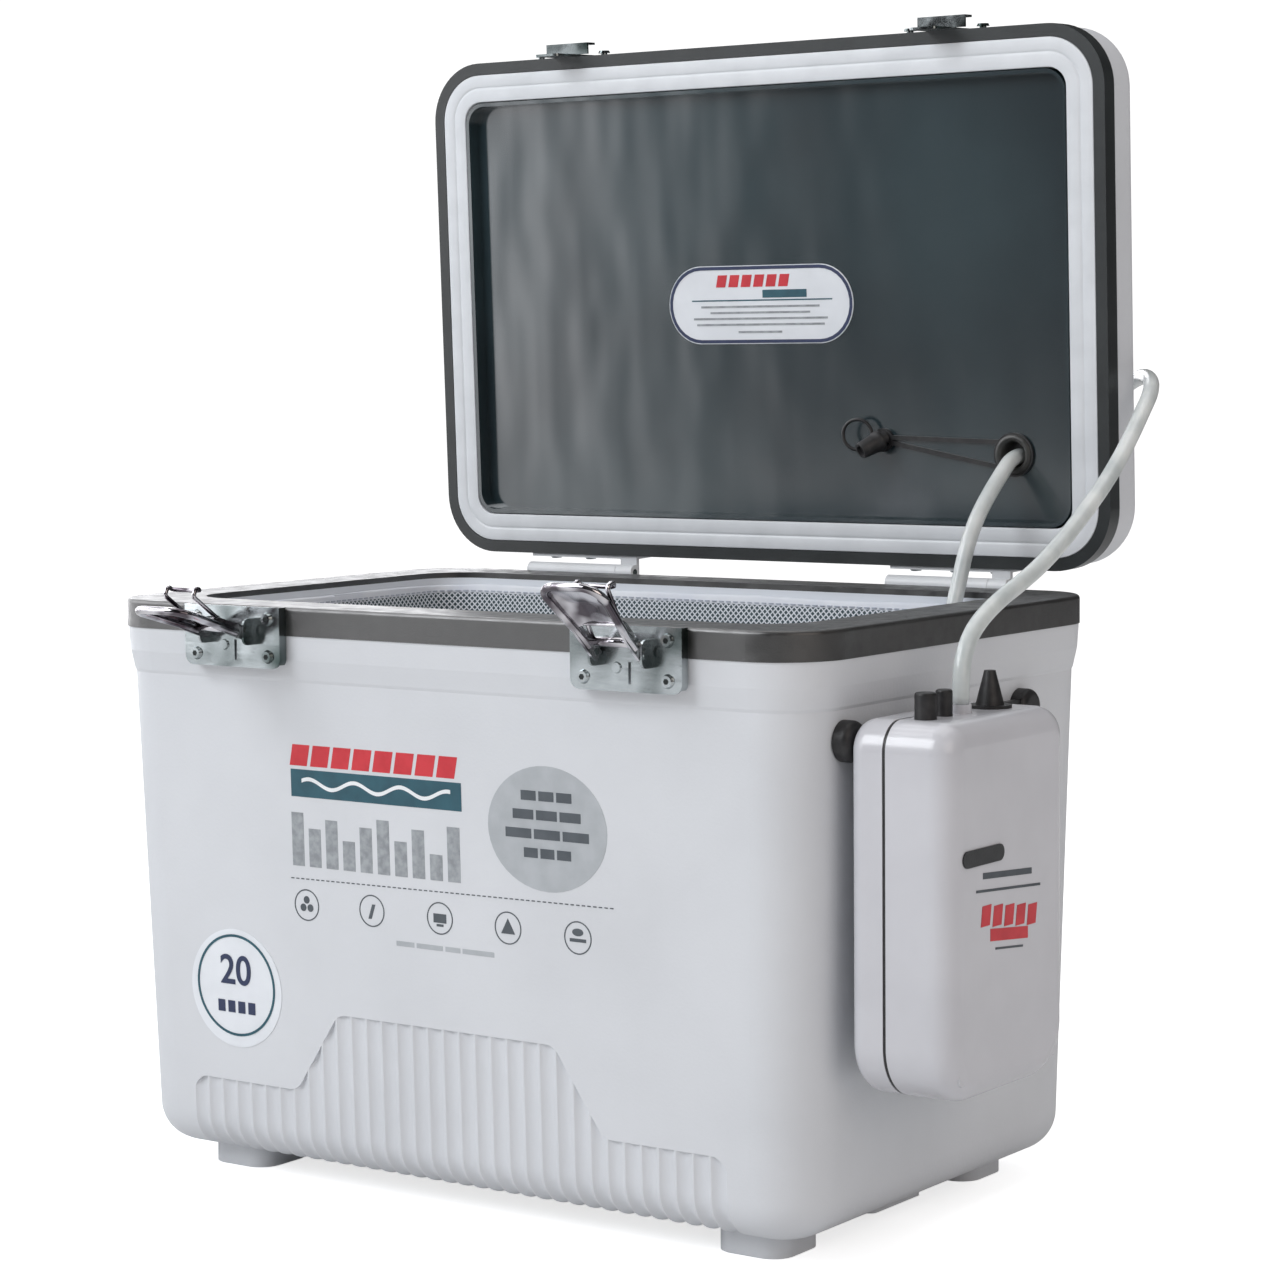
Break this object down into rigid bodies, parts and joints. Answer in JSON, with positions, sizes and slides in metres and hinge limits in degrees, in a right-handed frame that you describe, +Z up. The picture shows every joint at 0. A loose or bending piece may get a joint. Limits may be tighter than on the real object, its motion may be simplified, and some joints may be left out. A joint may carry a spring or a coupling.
{
  "type": "insulated live-bait box with air pump",
  "caption": "Hard insulated live-bait box with hinged lid, draw latches, net liner and a clip-on battery air pump with hose and air stone.",
  "frame": {"origin": "on the floor under the middle of the tub", "axes": "+Z up, -Y is the latch side, +X is the pump side"},
  "size_m": [0.4833, 0.409, 0.5835],
  "materials": {
    "shell_white": "blow-moulded polyethylene, light orange-peel, satin gloss",
    "liner_white": "smooth moulded plastic",
    "net": "fine white knotless mesh",
    "foam": "rigid closed-cell foam",
    "trim_grey": "matt moulded plastic",
    "lid_grey": "smooth dark thermoplastic",
    "seal_white": "soft ribbed seal",
    "label_print": "printed vinyl",
    "plated_steel": "polished zinc-nickel plating",
    "hinge_white": "moulded plastic",
    "black_rubber": "soft black rubber",
    "pump_white": "glossy moulded plastic",
    "black_plastic": "matt black plastic",
    "cell": "wrapped metal can",
    "hose": "milky flexible tubing",
    "stone": "bonded grit"
  },
  "bodies": {
    "root": {"air_hose": "hose", "air_outlet": "pump_white", "air_stone": "stone", "battery_cells": "cell", "battery_contacts": "plated_steel", "front_sticker": "label_print", "hanger_knobs": "black_rubber", "hinge_pins": "plated_steel", "hinge_screws_tub": "plated_steel", "hinge_tub_leaves": "hinge_white", "inlet_filter": "black_rubber", "jack_cap": "black_rubber", "latch_plate_left": "plated_steel", "latch_plate_right": "plated_steel", "latch_rivets": "plated_steel", "latch_screws": "plated_steel", "lever_pins": "plated_steel", "net_bag": "net", "net_hem": "liner_white", "pump_back_shell": "pump_white", "pump_badge": "black_plastic", "pump_clip": "black_plastic", "pump_diaphragm": "black_rubber", "pump_front_shell": "pump_white", "pump_hanger": "black_plastic", "pump_motor": "plated_steel", "pump_rod": "black_plastic", "pump_screws": "plated_steel", "pump_seal": "black_rubber", "switch_body": "black_plastic", "switch_boot": "black_rubber", "tub_foam": "foam", "tub_liner": "liner_white", "tub_shell": "shell_white", "tub_trim": "trim_grey", "valve_block": "black_plastic"},
    "lid": {"lid_cover": "shell_white", "lid_foam": "foam", "lid_gasket": "seal_white", "lid_label": "label_print", "lid_panel": "lid_grey", "lid_trim": "lid_grey", "keepers": "plated_steel", "keeper_screws": "plated_steel", "plug_strap": "black_rubber", "port_plug": "black_rubber", "port_grommet": "black_rubber", "hinge_lid_leaves": "hinge_white", "hinge_screws_lid": "plated_steel"},
    "lever_left": {"latch_lever_left": "plated_steel", "claw_pin_left": "plated_steel"},
    "claw_left": {"latch_claw_left": "plated_steel"},
    "lever_right": {"latch_lever_right": "plated_steel", "claw_pin_right": "plated_steel"},
    "claw_right": {"latch_claw_right": "plated_steel"},
    "toggle": {"toggle_lever": "plated_steel"},
    "rotor": {"motor_eccentric": "plated_steel"}
  },
  "joints": [
    {"name": "lid_hinge", "type": "hinge", "parent": "root", "child": "lid", "pos_m": [0, 0.1465, 0.292], "axis": [1, 0, 0], "range_deg": [0, 88], "deforming": ["air_hose"]},
    {"name": "lever_left", "type": "hinge", "parent": "root", "child": "lever_left", "pos_m": [-0.119, -0.1473, 0.28], "axis": [1, 0, 0], "range_deg": [0, 107.5]},
    {"name": "lever_right", "type": "hinge", "parent": "root", "child": "lever_right", "pos_m": [0.119, -0.1473, 0.28], "axis": [1, 0, 0], "range_deg": [0, 132]},
    {"name": "toggle_switch", "type": "hinge", "parent": "root", "child": "toggle", "pos_m": [0.246, -0.0355, 0.2514], "axis": [1, 0, 0], "range_deg": [-24, 0], "deforming": ["switch_boot"]},
    {"name": "motor_spin", "type": "hinge", "parent": "root", "child": "rotor", "pos_m": [0.2435, -0.062, 0.176], "axis": [0, 1, 0], "continuous": true},
    {"name": "claw_left", "type": "hinge", "parent": "lever_left", "child": "claw_left", "pos_m": [-0.119, -0.15493, 0.28241], "axis": [1, 0, 0], "range_deg": [-163.01, 0]},
    {"name": "claw_right", "type": "hinge", "parent": "lever_right", "child": "claw_right", "pos_m": [0.119, -0.15324, 0.28535], "axis": [1, 0, 0], "range_deg": [-163.01, 0]}
  ],
  "couplings": [
    {"joint": "claw_left", "follows": "lever_left", "ratio": -1.5163},
    {"joint": "claw_right", "follows": "lever_right", "ratio": -1.2348}
  ]
}
